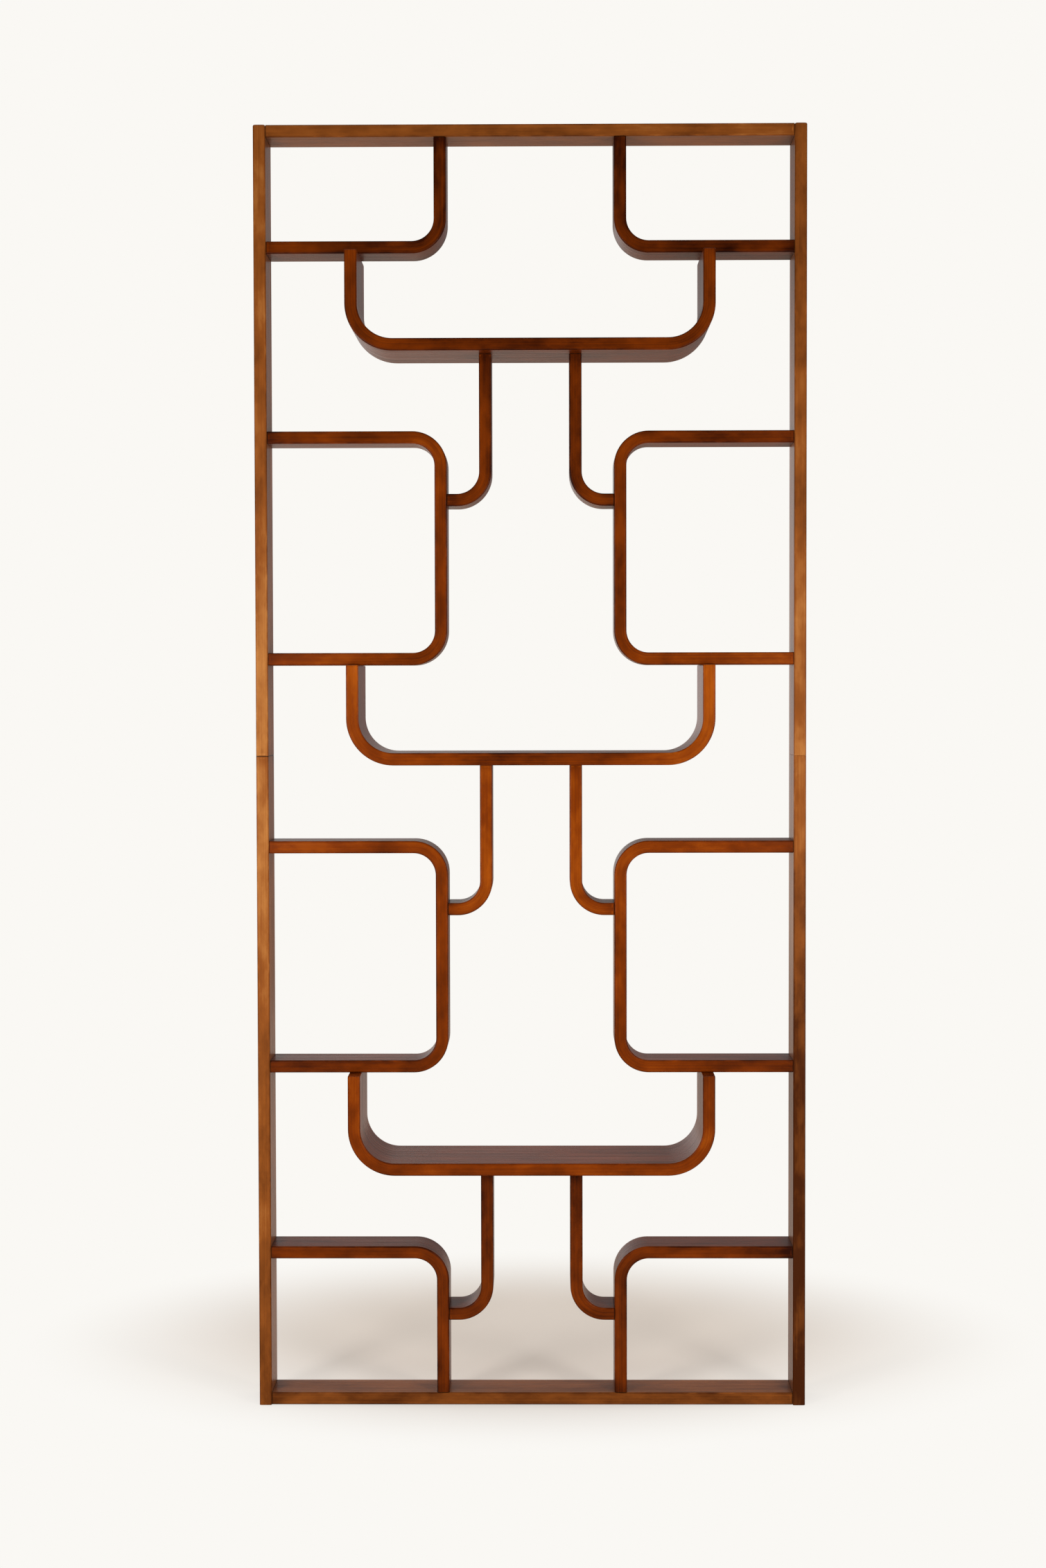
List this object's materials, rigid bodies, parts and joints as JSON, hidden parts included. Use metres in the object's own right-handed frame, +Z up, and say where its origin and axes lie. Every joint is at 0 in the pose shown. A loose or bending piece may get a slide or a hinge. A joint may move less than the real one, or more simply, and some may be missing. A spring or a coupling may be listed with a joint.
{
  "type": "partition screen",
  "caption": "Tall see-through room divider of bent laminated boards: open side boxes, corner shelves, hanging trays and hooks set in an upright frame.",
  "frame": {"origin": "on the floor, at the middle of the base", "axes": "+Z up, +X to the right along the screen as seen from the front, +Y through its depth, away from the viewer"},
  "size_m": [1, 0.195, 2.332],
  "materials": {
    "frame_wood": "brown stain under satin lacquer",
    "bent_wood": "red-brown stain under satin lacquer",
    "dowel_wood": "bare, fluted hardwood"
  },
  "bodies": {
    "root": {"left_upright_lower": "frame_wood", "left_upright_upper": "frame_wood", "right_upright_lower": "frame_wood", "right_upright_upper": "frame_wood", "top_rail": "frame_wood", "bottom_rail": "frame_wood", "bottom_left_corner_shelf": "bent_wood", "bottom_right_corner_shelf": "bent_wood", "lower_left_box": "bent_wood", "lower_left_hook": "bent_wood", "lower_right_box": "bent_wood", "lower_right_hook": "bent_wood", "lower_tray": "bent_wood", "middle_left_hook": "bent_wood", "middle_right_hook": "bent_wood", "middle_tray": "bent_wood", "top_left_corner_shelf": "bent_wood", "top_right_corner_shelf": "bent_wood", "upper_left_box": "bent_wood", "upper_left_hook": "bent_wood", "upper_right_box": "bent_wood", "upper_right_hook": "bent_wood", "upper_tray": "bent_wood", "rail_dowels": "dowel_wood", "corner_shelf_dowels": "dowel_wood", "box_dowels": "dowel_wood", "tray_dowels": "dowel_wood", "hook_top_dowels": "dowel_wood", "hook_toe_dowels": "dowel_wood", "upright_splice_dowels": "dowel_wood"}
  },
  "joints": []
}
